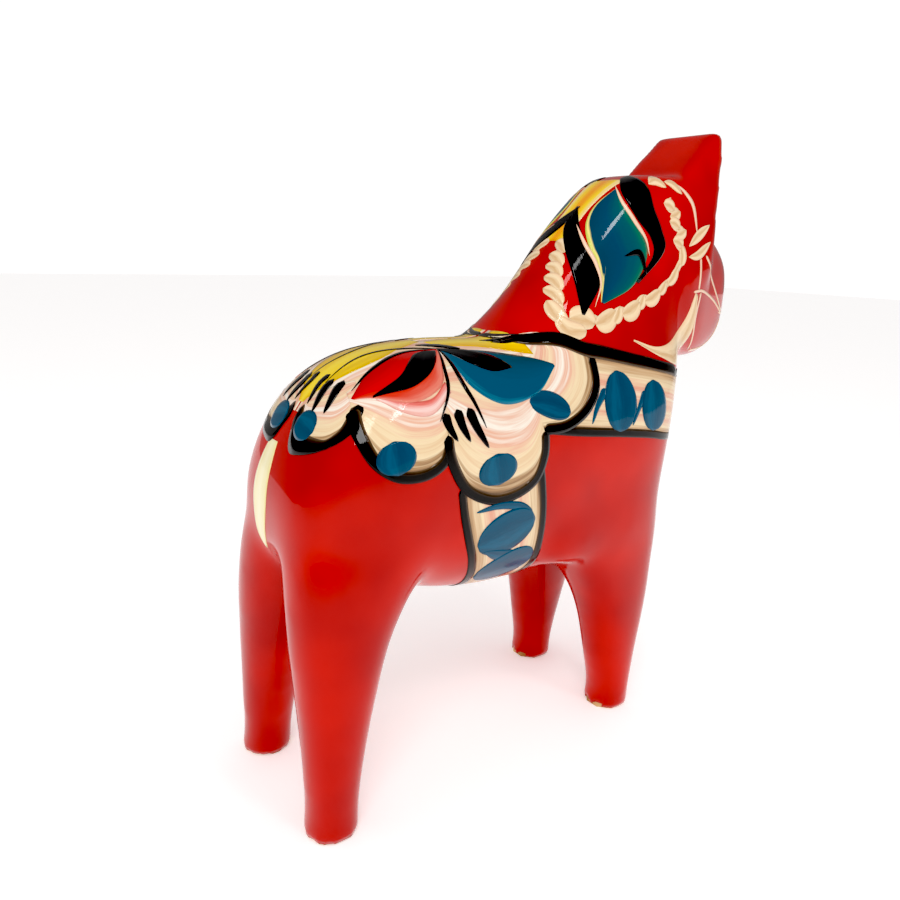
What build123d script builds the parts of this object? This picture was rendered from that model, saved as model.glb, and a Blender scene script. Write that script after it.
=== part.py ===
"""A dala horse: one block of pine, sawn and carved to a horse, then painted by hand.

+X runs to the nose, +Y to the horse's left side, +Z up. The origin is on the
floor, under the middle of the whole length and width. Lengths are millimetres.

The wood is one piece. The red coat covers it all but the soles. Over the coat
lies the decoration, each colour a film of its own. A film is what lies between
two carvings of the horse, one grown a little more than the other, inside a flat
outline that is pushed right through the horse, so that both sides match.
"""

import os
from math import copysign, cos, pi, sin

from build123d import *

os.makedirs("parts", exist_ok=True)

# ---- driving dimensions -------------------------------------------------------------
# X in the tables and outlines is measured from midway between fore and hind feet.
MIDDLE = -25.2  # where that point lies, so that the origin is under the whole length
COAT = 0.3  # thickness of the red coat
GROUND = 0.15  # thickness of the paint that lies on the coat
STROKE = 0.15  # thickness of the strokes that lie on a painted ground
SPECK = 4.0  # a crumb of an outline smaller than this, in square millimetres, is left out
WORN = 0.5  # height to which the paint has worn off the edges of the soles
BORDER = 2.4  # width of the black borders
FINE = 0.9  # width of the thin lines
THROUGH = 60.0  # how far an outline is pushed to pass right through the horse
OUTLINE_STEPS = 16  # points that draw one carved cross-section
RUNS = 8  # straight runs that draw one curve of a border

floor = Plane(origin=(MIDDLE, 0, 0))
side = Plane(origin=(MIDDLE, 0, 0), x_dir=(1, 0, 0), z_dir=(0, -1, 0))
across = Plane(origin=(MIDDLE, 0, 0), x_dir=(0, 1, 0), z_dir=(1, 0, 0))

# ---- carved cross-sections ----------------------------------------------------------
# A section is its place along the loft, low and high edge both ways, and squareness:
# 2 is an ellipse, and a higher value is nearer a box.
# Along X: (x, y low, y high, z low, z high, squareness)
TORSO = [
    (-57.2, -11, 11, 72, 84, 2.3),
    (-55.5, -17, 17, 69, 90, 2.4),
    (-51.5, -22, 22, 65, 99.5, 2.5),
    (-45, -25.5, 25.5, 62, 108.8, 2.6),
    (-35, -27, 27, 58.5, 115.6, 2.6),
    (-20, -27.2, 27.2, 54, 118.7, 2.6),
    (0, -27, 27, 50.5, 119, 2.6),
    (20, -26.5, 26.5, 50, 119.5, 2.6),
    (40, -26, 26, 50, 121, 2.6),
    (56, -24.5, 24.5, 54, 117, 2.8),
    (64, -20, 20, 60, 110, 3),
    (66.5, -13, 13, 66, 102, 3),
]
MUZZLE = [
    (66, -14, 14, 112, 158, 4),
    (80, -15.2, 15.2, 111, 155, 4),
    (87, -13.5, 13.5, 110.5, 153, 4),
    (94, -11.2, 11.2, 111, 150, 4),
    (101, -9, 9, 113, 146.5, 3.6),
    (106, -7, 7, 115.5, 143, 3.2),
    (109, -4.5, 4.5, 120, 138.5, 3),
]
# Upwards: (z, x low, x high, y low, y high, squareness)
NECK = [
    (56, 15, 65.5, -24.5, 24.5, 4.5),
    (70, 6, 67.5, -26, 26, 4.5),
    (86, 2, 69.5, -25.8, 25.8, 4.5),
    (100, 0, 72.5, -24.8, 24.8, 4.5),
    (110, 2, 76.5, -22, 22, 4),
    (121, 9.5, 81, -18, 18, 3.2),
    (134, 22.5, 86, -16, 16, 3),
    (148, 34, 89, -15, 15, 3.2),
    (158, 44, 90, -14.2, 14.2, 3.2),
    (163, 51, 90, -13.4, 13.4, 3.2),
    (165.5, 59, 89.5, -11.5, 11.5, 3),
]
HIND_LEG = [
    (0, -57.4, -44.6, 14.1, 26.9, 2.1),
    (15, -57.4, -42.8, 12.8, 26.9, 2.1),
    (30, -57.9, -39.4, 10.2, 27, 2.1),
    (44, -58.4, -35.2, 6.7, 27, 2.2),
    (55, -58.6, -30, 3.5, 27, 2.3),
    (64, -58.2, -23, 0.5, 26.8, 2.4),
    (78, -56, -10, -2, 25.5, 2.5),
]
FORELEG = [
    (0, 44.6, 57.4, 12.2, 25, 2.1),
    (15, 43.3, 59.3, 10.8, 25.6, 2.1),
    (30, 40.5, 61.8, 8.6, 26, 2.3),
    (44, 35.5, 63.8, 5.5, 26.2, 2.7),
    (54, 28, 65.3, 2.5, 26, 3),
    (66, 18, 66.6, -1, 25.8, 3),
    (80, 14, 66.5, -3, 25, 3),
]
# The wedge of the ears, seen from the side and then from the front
EARS = [(62, 158), (70.5, 164), (87, 180), (90.8, 179), (88.6, 150), (87, 136), (70, 136)]
EARS_FRONT = [(-15.4, 136), (-14.8, 150), (-10.8, 185), (10.8, 185), (14.8, 150), (15.4, 136)]


def oval(half_a, half_b, centre_a, centre_b, squareness):
    """Points around a superellipse."""
    points = []
    for step in range(OUTLINE_STEPS):
        c = cos(2 * pi * step / OUTLINE_STEPS)
        s = sin(2 * pi * step / OUTLINE_STEPS)
        a = centre_a + copysign(half_a * abs(c) ** (2 / squareness), c)
        b = centre_b + copysign(half_b * abs(s) ** (2 / squareness), s)
        points.append((a, b))
    return points


def carve_loft(base, sections, swell, start_swell):
    """A loft through sections, grown by swell all round and by start_swell at its start."""
    with BuildPart(mode=Mode.PRIVATE) as lofted:
        for place, a_low, a_high, b_low, b_high, squareness in sections:
            growth = {sections[0][0]: -start_swell, sections[-1][0]: swell}.get(place, 0)
            outline = oval(
                (a_high - a_low) / 2 + swell,
                (b_high - b_low) / 2 + swell,
                (a_high + a_low) / 2,
                (b_high + b_low) / 2,
                squareness,
            )
            with BuildSketch(base.offset(place + growth)):
                with BuildLine():
                    Spline(outline, periodic=True)
                make_face()
        loft()
    return lofted.part


def carve(swell):
    """The whole horse, grown by swell on every face but the soles."""
    masses = [
        carve_loft(across, TORSO, swell, swell),
        carve_loft(floor, NECK, swell, swell),
        carve_loft(across, MUZZLE, swell, swell),
    ]
    for sections in (HIND_LEG, FORELEG):
        leg = carve_loft(floor, sections, swell, 0)
        masses += [leg, leg.mirror(Plane.XZ)]
    with BuildPart(mode=Mode.PRIVATE) as horse:
        with BuildSketch(side):
            with BuildLine():
                Polyline(EARS, close=True)
            make_face()
            offset(amount=swell, kind=Kind.INTERSECTION)
        extrude(amount=THROUGH, both=True)
        with BuildSketch(across):
            with BuildLine():
                Polyline(EARS_FRONT, close=True)
            make_face()
            offset(amount=swell, kind=Kind.INTERSECTION)
        extrude(amount=2 * THROUGH, mode=Mode.INTERSECT)
        add(masses, clean=False)
    return horse.part


def blob(points):
    """A painted shape with a smooth closed outline through a few points."""
    with BuildSketch(mode=Mode.PRIVATE) as shape:
        with BuildLine():
            Spline(points, periodic=True)
        make_face()
    return shape.sketch


def line(points, width):
    """A painted line of even width, smooth through a few points."""
    with BuildSketch(mode=Mode.PRIVATE) as shape:
        with BuildLine() as path:
            Spline(points)
        trace(path.line, width)
    return shape.sketch


def runs(curve):
    """Points along a curve, near enough to draw it with straight runs."""
    return [curve @ (step / RUNS) for step in range(RUNS + 1)]


def band(curve, width):
    """A painted band of even width along a curve, drawn with straight runs."""
    left = []
    right = []
    for step in range(RUNS + 1):
        point = curve @ (step / RUNS)
        out = (curve % (step / RUNS)).rotate(Axis.Z, 90) * (width / 2)
        left.append(point + out)
        right.append(point - out)
    with BuildSketch(mode=Mode.PRIVATE) as shape:
        with BuildLine():
            Polyline([*left, *reversed(right)], close=True)
        make_face()
    return shape.sketch


def dab(centre, length, width, angle):
    """An oval touch of the brush, its length turned by angle."""
    with BuildSketch(mode=Mode.PRIVATE) as shape:
        with Locations(Location((*centre, 0), (0, 0, angle))):
            Ellipse(length / 2, width / 2)
    return shape.sketch


def film(outline, over, under, seen_on=side, reach=THROUGH, both_ways=True):
    """The paint between two carvings, inside an outline drawn on a plane."""
    layers = []
    for face in outline.faces().filter_by(lambda flat: flat.area > SPECK):
        with BuildPart(mode=Mode.PRIVATE) as layer:
            add(over, clean=False)
            with BuildSketch(seen_on):
                add(face if face.normal_at().Z > 0 else -face)
            extrude(amount=reach, both=both_ways, mode=Mode.INTERSECT, clean=False)
            add(under, mode=Mode.SUBTRACT, clean=False)
        layers += layer.part.solids()
    return layers


def finish(name, paint):
    """Label a piece and write its file."""
    paint.label = name
    export_step(paint, f"parts/{name}.step")


# ---- wood and coat ------------------------------------------------------------------
wood = carve(0)
coat_top = carve(COAT)
ground_top = carve(COAT + GROUND)
stroke_top = carve(COAT + GROUND + STROKE)

with BuildPart() as pine_body:
    add(wood, clean=False)
finish("pine_body", pine_body.part)

with BuildPart() as red_coat:
    add(coat_top, clean=False)
    add(wood, mode=Mode.SUBTRACT, clean=False)
    split(bisect_by=Plane.XY.offset(WORN), keep=Keep.TOP)
finish("red_coat", red_coat.part)

# ---- saddle, girth and breast band: outlines, seen from the side ----------------------
NECK_LINE = [(4, 124), (11, 119.4), (21.5, 118.8), (35, 115.8), (51.5, 112.3), (80, 105.5)]
LOBES = [(-60, 101), (-52, 95.8), (-43, 106), (-35.5, 92), (-22.5, 98), (-8, 82), (9, 98)]
RIM = [ThreePointArc(*LOBES[start : start + 3], mode=Mode.PRIVATE) for start in (0, 2, 4)]
RIM += [Spline(LOBES[-1], (24, 99.6), (30, 108), (27.5, 117.2), mode=Mode.PRIVATE)]
GIRTH_REAR = Spline((-19, 86), (-15.8, 75.4), (-11.9, 65.6), (-8.5, 45), mode=Mode.PRIVATE)
GIRTH_FRONT = Spline((8, 94), (9.8, 78.9), (11, 63.1), (10, 45), mode=Mode.PRIVATE)
BREAST_LOW = Spline((9, 98.6), (22, 96.6), (38.5, 94.3), (60, 90), (80, 85.5), mode=Mode.PRIVATE)
with BuildSketch() as saddle:
    with BuildLine():
        rim_points = [point for curve in RIM for point in runs(curve)[:-1]]
        Polyline([*rim_points, (27.5, 117.2), (10, 121), (6, 135), (-60, 135)], close=True)
    make_face()
with BuildSketch() as saddle_edge:
    for curve in RIM:
        add(band(curve, BORDER))
with BuildSketch() as neck_edge:
    add(band(Spline(NECK_LINE, mode=Mode.PRIVATE), BORDER))
    add(saddle.sketch, mode=Mode.SUBTRACT)
    add(saddle_edge.sketch, mode=Mode.SUBTRACT)
with BuildSketch() as girth_edge:
    add(band(GIRTH_REAR, BORDER))
    add(band(GIRTH_FRONT, BORDER))
    add(saddle.sketch, mode=Mode.SUBTRACT)
    add(saddle_edge.sketch, mode=Mode.SUBTRACT)
with BuildSketch() as breast_edge:
    add(band(BREAST_LOW, BORDER))
    add(saddle.sketch, mode=Mode.SUBTRACT)
    add(saddle_edge.sketch, mode=Mode.SUBTRACT)
    add(girth_edge.sketch, mode=Mode.SUBTRACT)

with BuildPart() as saddle_border:
    add(film(saddle_edge.sketch, ground_top, coat_top), clean=False)
finish("saddle_border", saddle_border.part)

with BuildPart() as neck_line:
    add(film(neck_edge.sketch, ground_top, coat_top), clean=False)
finish("neck_line", neck_line.part)

with BuildPart() as girth_border:
    add(film(girth_edge.sketch, ground_top, coat_top), clean=False)
finish("girth_border", girth_border.part)

with BuildPart() as breast_border:
    add(film(breast_edge.sketch, ground_top, coat_top), clean=False)
finish("breast_border", breast_border.part)

with BuildSketch() as saddle_area:
    add(saddle.sketch)
    add(saddle_edge.sketch, mode=Mode.SUBTRACT)
with BuildPart() as saddle_ground:
    add(film(saddle_area.sketch, ground_top, coat_top), clean=False)
finish("saddle_ground", saddle_ground.part)

with BuildSketch() as girth_area:
    with BuildLine():
        Polyline(
            [(-19, 86), (-15.8, 75.4), (-11.9, 65.6), (-8.5, 45), (10, 45), (11, 63.1), (8, 94)],
            close=True,
        )
    make_face()
    for edge in (saddle, saddle_edge, girth_edge, breast_edge):
        add(edge.sketch, mode=Mode.SUBTRACT)
with BuildPart() as girth_ground:
    add(film(girth_area.sketch, ground_top, coat_top), clean=False)
finish("girth_ground", girth_ground.part)

with BuildSketch() as breast_area:
    with BuildLine():
        Polyline(
            [(9, 98.6), (38.5, 94.3), (80, 85.5), (80, 105.5), (51.5, 112.3), (25, 118)],
            close=True,
        )
    make_face()
    for edge in (saddle, saddle_edge, girth_edge, breast_edge, neck_edge):
        add(edge.sketch, mode=Mode.SUBTRACT)
with BuildPart() as breast_ground:
    add(film(breast_area.sketch, ground_top, coat_top), clean=False)
finish("breast_ground", breast_ground.part)

# ---- saddle decoration ----------------------------------------------------------------
FLOWER = (-14.5, 117.8)  # where the petals start, beside the spine
with BuildSketch() as vein_lines:
    add(line([FLOWER, (-17.8, 113.5), (-23.4, 104)], FINE))
    add(line([FLOWER, (-14.8, 111.5), (-10.5, 102.6)], FINE))
with BuildPart() as flower_veins:
    add(film(vein_lines.sketch, stroke_top, ground_top), clean=False)
finish("flower_veins", flower_veins.part)

with BuildSketch() as dark_crescent:
    add(blob([
        (-16, 117), (-21.5, 114.2), (-27.7, 110.8), (-37.4, 109.6), (-30.1, 112.9),
        (-24.2, 116),
    ]))
    add(vein_lines.sketch, mode=Mode.SUBTRACT)
with BuildPart() as red_petal_shade:
    add(film(dark_crescent.sketch, stroke_top, ground_top), clean=False)
finish("red_petal_shade", red_petal_shade.part)

with BuildSketch() as red_shape:
    add(blob([
        (-16, 117.2), (-25, 116.6), (-35, 113.3), (-39.5, 110), (-33, 107.7), (-25, 107.7),
        (-19.4, 111),
    ]))
    add(dark_crescent.sketch, mode=Mode.SUBTRACT)
    add(vein_lines.sketch, mode=Mode.SUBTRACT)
with BuildPart() as red_petals:
    add(film(red_shape.sketch, stroke_top, ground_top), clean=False)
finish("red_petals", red_petals.part)

with BuildSketch() as pink_shape:
    add(line([(-34.5, 106), (-30, 105.2), (-25.6, 105.2)], 2.6))
with BuildPart() as pink_highlights:
    add(film(pink_shape.sketch, stroke_top, ground_top), clean=False)
finish("pink_highlights", pink_highlights.part)

with BuildSketch() as dark_leaf:
    add(blob([(-13, 117.6), (-5.8, 117), (-1, 113.6), (-2, 112.4), (-9, 114.4)]))
with BuildPart() as blue_petal_shade:
    add(film(dark_leaf.sketch, stroke_top, ground_top), clean=False)
finish("blue_petal_shade", blue_petal_shade.part)

with BuildSketch() as blue_shape:
    add(blob([
        (-13.5, 116.2), (-2.7, 116.8), (8.3, 115.3), (16.5, 113), (11.4, 107.6),
        (1.6, 105), (-8, 106), (-13.8, 111),
    ]))
    add(dark_leaf.sketch, mode=Mode.SUBTRACT)
    add(vein_lines.sketch, mode=Mode.SUBTRACT)
with BuildPart() as blue_petals:
    add(film(blue_shape.sketch, stroke_top, ground_top), clean=False)
finish("blue_petals", blue_petals.part)

with BuildSketch() as yellow_shape:
    with BuildLine():
        Spline((-16, 118.4), (-24, 117.6), (-33, 115.6), (-41, 111.6), (-47.5, 105.5))
        Polyline((-47.5, 105.5), (-52, 112), (-40, 125), (-16, 125), (-16, 118.4))
    make_face()
    add(red_shape.sketch, mode=Mode.SUBTRACT)
    add(dark_crescent.sketch, mode=Mode.SUBTRACT)
with BuildPart() as yellow_petals:
    add(film(yellow_shape.sketch, stroke_top, ground_top), clean=False)
finish("yellow_petals", yellow_petals.part)

with BuildSketch() as leaf_shape:
    with BuildLine():
        Spline((-12, 118.8), (-2, 118.3), (7, 117.6))
        Polyline((7, 117.6), (4, 122), (-12, 122), (-12, 118.8))
    make_face()
with BuildPart() as yellow_leaf:
    add(film(leaf_shape.sketch, stroke_top, ground_top), clean=False)
finish("yellow_leaf", yellow_leaf.part)

STAMENS = [((-21.2, 101.6), 6.5, -78), ((-17.8, 100.6), 7, -74), ((-13.6, 99.2), 8.5, -66)]
with BuildSketch() as stamen_shapes:
    for centre, length, angle in STAMENS:
        add(dab(centre, length, 2, angle))
with BuildPart() as flower_stamens:
    add(film(stamen_shapes.sketch, stroke_top, ground_top), clean=False)
finish("flower_stamens", flower_stamens.part)

with BuildSketch() as dot_shapes:
    add(dab((-36, 97.2), 10, 7.4, 0))
    add(dab((-7.4, 89.4), 10, 8, 0))
    add(dab((12.2, 104), 14, 6.8, -6))
with BuildPart() as saddle_dots:
    add(film(dot_shapes.sketch, stroke_top, ground_top), clean=False)
finish("saddle_dots", saddle_dots.part)

with BuildSketch() as rump_dot_shapes:
    for y in (-6.8, 6.8):
        add(dab((y, 101.6), 8, 5.4, 0))
with BuildPart() as rump_dots:
    add(film(rump_dot_shapes.sketch, stroke_top, ground_top, across, -2 * THROUGH, False), clean=False)
finish("rump_dots", rump_dots.part)

with BuildSketch() as girth_marks:
    add(dab((-2.6, 73.4), 18, 9, 14))
    add(dab((0.4, 62), 18, 7, 12))
    add(line([(-11.5, 80.4), (-4, 79.8), (4.5, 77)], FINE))
with BuildPart() as girth_scroll:
    add(film(girth_marks.sketch, stroke_top, ground_top), clean=False)
finish("girth_scroll", girth_scroll.part)

with BuildSketch() as breast_marks:
    add(dab((38.4, 103), 13.6, 14, 0))
    add(dab((53, 100.4), 12, 13, 0))
    add(dab((66.5, 97.6), 11, 12, 0))
    add(line([(28, 98.6), (30, 102), (33, 106)], FINE))
with BuildPart() as breast_scroll:
    add(film(breast_marks.sketch, stroke_top, ground_top), clean=False)
finish("breast_scroll", breast_scroll.part)

# ---- mane, garland and bridle: painted straight on the red coat -----------------------
with BuildSketch() as light_edge:
    add(line([(48, 158.5), (50, 151.6), (54.2, 146.4), (55.2, 140.5), (53, 136)], FINE))
with BuildPart() as mane_light_line:
    add(film(light_edge.sketch, ground_top, coat_top), clean=False)
finish("mane_light_line", mane_light_line.part)

with BuildSketch() as crest_shape:
    with BuildLine():
        Spline((56, 163), (46.5, 157.6), (39.5, 150.6), (34.2, 146))
        Polyline((34.2, 146), (28, 148), (40, 168), (56, 170), (56, 163))
    make_face()
with BuildPart() as mane_crest:
    add(film(crest_shape.sketch, ground_top, coat_top), clean=False)
finish("mane_crest", mane_crest.part)

with BuildSketch() as mane_leaf_shape:
    add(blob([
        (35.2, 149.2), (34.8, 144), (35.7, 138.4), (35.2, 132), (30, 126.3), (28.9, 133),
        (29.8, 140.8), (32.4, 146),
    ]))
    add(crest_shape.sketch, mode=Mode.SUBTRACT)
with BuildPart() as mane_dark_leaf:
    add(film(mane_leaf_shape.sketch, ground_top, coat_top), clean=False)
finish("mane_dark_leaf", mane_dark_leaf.part)

with BuildSketch() as mane_petal_shape:
    add(blob([
        (47.3, 158), (41, 151.6), (37.6, 145), (37.2, 138), (38.4, 130.4), (45, 131.6),
        (51, 137), (53.4, 143), (50.6, 148),
    ]))
    add(crest_shape.sketch, mode=Mode.SUBTRACT)
    add(light_edge.sketch, mode=Mode.SUBTRACT)
with BuildPart() as mane_blue_petal:
    add(film(mane_petal_shape.sketch, ground_top, coat_top), clean=False)
finish("mane_blue_petal", mane_blue_petal.part)

with BuildSketch() as mane_stroke_shape:
    add(blob([
        (54, 162.4), (57.4, 158.5), (59.6, 152.8), (61.8, 146), (60, 139), (53.6, 134.4),
        (56.4, 141), (55.4, 147), (51.6, 153), (50.6, 158.6),
    ]))
    add(crest_shape.sketch, mode=Mode.SUBTRACT)
    add(light_edge.sketch, mode=Mode.SUBTRACT)
with BuildPart() as mane_dark_stroke:
    add(film(mane_stroke_shape.sketch, ground_top, coat_top), clean=False)
finish("mane_dark_stroke", mane_dark_stroke.part)

GARLAND = [
    (30, 142.4), (26.6, 137), (24.4, 131.4), (23.6, 126.4), (28.4, 123), (35, 123.4),
    (42, 125.4),
]
GARLAND += [
    (49.6, 127.8), (59, 131.6), (66.8, 136.4), (71, 142.6), (69.6, 149.8), (66.6, 155.2),
    (63.2, 159.6),
]
with BuildSketch() as garland_shape:
    add(line(GARLAND, 2.2))
    with Locations(*GARLAND):
        Circle(2.1)
with BuildPart() as mane_garland:
    add(film(garland_shape.sketch, ground_top, coat_top), clean=False)
finish("mane_garland", mane_garland.part)

with BuildSketch() as forelock_shape:
    add(dab((59, 163), 4.6, 2, 10))
    add(dab((67.4, 163.2), 4.4, 2, -20))
with BuildPart() as forelock:
    add(film(forelock_shape.sketch, ground_top, coat_top), clean=False)
finish("forelock", forelock.part)

with BuildSketch() as leaf_shapes:
    add(dab((79.2, 149.4), 9.6, 2.8, 38))
    add(dab((78.6, 144.4), 8.4, 2.6, 30))
with BuildPart() as bridle_leaves:
    add(film(leaf_shapes.sketch, ground_top, coat_top), clean=False)
finish("bridle_leaves", bridle_leaves.part)

with BuildSketch() as noseband_shape:
    add(line([(78.4, 132.1), (84.3, 132.3), (94.7, 129.2), (112, 121)], FINE))
    add(line([(83, 131), (81.6, 123.4), (83.4, 113.6)], FINE))
with BuildPart() as noseband:
    add(film(noseband_shape.sketch, ground_top, coat_top), clean=False)
finish("noseband", noseband.part)

with BuildSketch() as strap_shapes:
    add(line([(70.6, 161.6), (75.5, 157), (77.4, 152.4)], FINE))
    add(line([(80.2, 142.4), (81.4, 133.4)], FINE))
    add(line([(83, 143), (95.5, 133.2), (110, 123.8)], FINE))
    for shape in (leaf_shapes, noseband_shape, forelock_shape):
        add(shape.sketch, mode=Mode.SUBTRACT)
with BuildPart() as bridle_straps:
    add(film(strap_shapes.sketch, ground_top, coat_top), clean=False)
finish("bridle_straps", bridle_straps.part)

with BuildSketch() as rein_shape:
    add(blob([
        (78.6, 130), (79.6, 124), (76.6, 116.4), (68, 113.6), (58, 115.6), (49, 118.6),
        (58, 117.6), (67, 118), (72, 121), (75, 126),
    ]))
    for shape in (noseband_shape, strap_shapes, neck_edge):
        add(shape.sketch, mode=Mode.SUBTRACT)
with BuildPart() as reins:
    add(film(rein_shape.sketch, ground_top, coat_top), clean=False)
finish("reins", reins.part)

# ---- tail -----------------------------------------------------------------------------
with BuildSketch() as tail_shape:
    add(blob([(-1, 95), (-2, 83), (-1, 73), (2.4, 69.4), (5.4, 76), (6, 84), (4, 92)]))
with BuildPart() as tail_stripe:
    add(film(tail_shape.sketch, ground_top, coat_top, across, -2 * THROUGH, False), clean=False)
finish("tail_stripe", tail_stripe.part)
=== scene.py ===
"""A dala horse, 18 cm tall: one carved block of pine, painted and varnished by hand.

The wood is sawn and carved, so its faces are softened where a knife has rounded
them. A red enamel covers it all but the soles. Over it lie a white saddle cloth
with scalloped lobes, a big flower, a girth and a breast band, a mane with a
garland round it, a bridle and a tail. Every touch of the brush is a thin closed
film of its own that lies on the coat, laid there by a ray for each point.
"""

import logging
import math
from dataclasses import dataclass
from enum import Enum

import bpy
import numpy as np
from mathutils import Matrix, Vector


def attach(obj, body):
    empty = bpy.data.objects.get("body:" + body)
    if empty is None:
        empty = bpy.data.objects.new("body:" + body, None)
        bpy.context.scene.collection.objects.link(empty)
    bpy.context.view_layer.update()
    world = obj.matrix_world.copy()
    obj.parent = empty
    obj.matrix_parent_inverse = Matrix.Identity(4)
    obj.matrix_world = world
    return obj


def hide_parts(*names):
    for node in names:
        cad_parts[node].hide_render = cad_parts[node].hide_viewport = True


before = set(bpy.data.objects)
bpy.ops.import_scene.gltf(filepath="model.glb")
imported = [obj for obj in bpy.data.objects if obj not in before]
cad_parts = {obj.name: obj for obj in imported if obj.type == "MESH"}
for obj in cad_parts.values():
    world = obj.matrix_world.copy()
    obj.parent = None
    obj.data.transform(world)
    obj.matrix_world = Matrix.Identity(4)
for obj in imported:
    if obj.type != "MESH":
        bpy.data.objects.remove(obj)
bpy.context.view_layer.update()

LOG = logging.getLogger("dala_horse")

MM = 0.001
WAVES = 20  # how many rings a wave texture draws at a scale of 1
MIDDLE = -25.2  # mm: where the point midway between fore and hind feet lies on X
BARREL_AXIS_Z = 84.0  # mm: height of the line that the torso's touches turn about
NECK_START = (20.0, 111.6)  # mm, X and Z: where the neck's axis starts
NECK_AXIS = (0.669, 0.743)  # unit X and Z, up the neck
NECK_CREST = (-0.743, 0.669)  # unit X and Z, from the axis to the crest
REACH = 60.0  # mm: how far out a ray starts, clear of the horse
Point = tuple[float, float]
Place = tuple[float, float, float]


# ---- small tools --------------------------------------------------------------------
def linear(code: str) -> tuple[float, float, float, float]:
    """Turn an sRGB hex colour into linear RGBA.

    Args:
        code: six hex digits, such as "c8140a".

    Returns:
        Red, green, blue and alpha, linear.
    """
    values = [int(code[i : i + 2], 16) / 255 for i in (0, 2, 4)]
    bent = [v / 12.92 if v <= 0.04045 else ((v + 0.055) / 1.055) ** 2.4 for v in values]
    return (*bent, 1.0)


def add_node(
    tree: bpy.types.NodeTree, kind: str, inputs: dict, **settings: object
) -> bpy.types.Node:
    """Add a node, set its properties, and fill or link its sockets.

    Args:
        tree: the tree that gets the node.
        kind: the node's type name.
        inputs: socket name or index to a value or to another node's output.
        settings: the node's own properties.

    Returns:
        The new node.
    """
    node = tree.nodes.new(kind)
    for name, value in settings.items():
        setattr(node, name, value)
    for key, value in inputs.items():
        if isinstance(key, int):
            socket = node.inputs[key]
        else:
            socket = next(s for s in node.inputs if s.name == key and s.enabled)
        if isinstance(value, bpy.types.NodeSocket):
            tree.links.new(value, socket)
        else:
            socket.default_value = value
    return node


def object_from(name: str, mesh: bpy.types.Mesh) -> bpy.types.Object:
    """Put a mesh into the scene as an object at the origin."""
    thing = bpy.data.objects.new(name, mesh)
    bpy.context.scene.collection.objects.link(thing)
    return thing


def baked(thing: bpy.types.Object, name: str) -> bpy.types.Object:
    """Turn an object with modifiers into a plain one.

    Args:
        thing: the object, which is removed.
        name: the plain object's name.

    Returns:
        The plain object.
    """
    depsgraph = bpy.context.evaluated_depsgraph_get()
    mesh = bpy.data.meshes.new_from_object(
        thing.evaluated_get(depsgraph), preserve_all_data_layers=True, depsgraph=depsgraph
    )
    bpy.data.objects.remove(thing)
    mesh.name = name
    return object_from(name, mesh)


def run_tree(
    thing: bpy.types.Object, tree: bpy.types.NodeTree, values: dict[str, object]
) -> None:
    """Give an object a geometry-nodes modifier and set its inputs by identifier.

    Args:
        thing: the object.
        tree: the node tree.
        values: input name to value.
    """
    modifier = thing.modifiers.new(tree.name, "NODES")
    modifier.node_group = tree
    for item in tree.interface.items_tree:
        if getattr(item, "in_out", None) == "INPUT" and item.name in values:
            modifier[item.identifier] = values[item.name]


PAINT_INPUT = ("Paint", "NodeSocketMaterial")


def new_tree(name: str, inputs: list[tuple[str, str]]) -> bpy.types.NodeTree:
    """Start a geometry-nodes tree with named inputs and one geometry output.

    Args:
        name: the tree's name.
        inputs: the name and socket type of each input after the geometry.

    Returns:
        The tree.
    """
    tree = bpy.data.node_groups.new(name, "GeometryNodeTree")
    tree.interface.new_socket("Geometry", in_out="INPUT", socket_type="NodeSocketGeometry")
    for label, kind in inputs:
        tree.interface.new_socket(label, in_out="INPUT", socket_type=kind)
    tree.interface.new_socket("Geometry", in_out="OUTPUT", socket_type="NodeSocketGeometry")
    return tree


def end_tree(
    tree: bpy.types.NodeTree, geometry: bpy.types.NodeSocket, paint: bpy.types.NodeSocket
) -> None:
    """Close a tree with real geometry, its material and the output.

    Args:
        tree: the tree.
        geometry: the geometry of the last step.
        paint: the socket that gives the material.
    """
    real = add_node(tree, "GeometryNodeRealizeInstances", {"Geometry": geometry})
    dressed = add_node(
        tree, "GeometryNodeSetMaterial",
        {"Geometry": real.outputs["Geometry"], "Material": paint},
    )
    add_node(tree, "NodeGroupOutput", {"Geometry": dressed.outputs["Geometry"]})


def put_attribute(mesh: bpy.types.Mesh, name: str, values: np.ndarray) -> None:
    """Store a number or a vector for each vertex.

    Args:
        mesh: the mesh that gets it.
        name: the attribute's name.
        values: one number or one vector for each vertex.
    """
    kind, key = ("FLOAT", "value") if values.ndim == 1 else ("FLOAT_VECTOR", "vector")
    layer = mesh.attributes.new(name, kind, "POINT")
    layer.data.foreach_set(key, values.astype(np.float32).ravel())


# ---- finishes -----------------------------------------------------------------------
@dataclass(frozen=True)
class Varnish:
    """The clear lacquer that is brushed over all the paint: glossy, about 0.05 mm."""

    roughness: float = 0.04
    ior: float = 1.4
    weight: float = 1.0
    paint_gloss: float = 0.15  # what gloss the paint keeps beneath it

    def cover(self, shader: bpy.types.Node) -> None:
        """Set the coat sockets of a Principled shader."""
        shader.inputs["Coat Weight"].default_value = self.weight
        shader.inputs["Coat Roughness"].default_value = self.roughness
        shader.inputs["Coat IOR"].default_value = self.ior
        shader.inputs["Specular IOR Level"].default_value = self.paint_gloss


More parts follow.
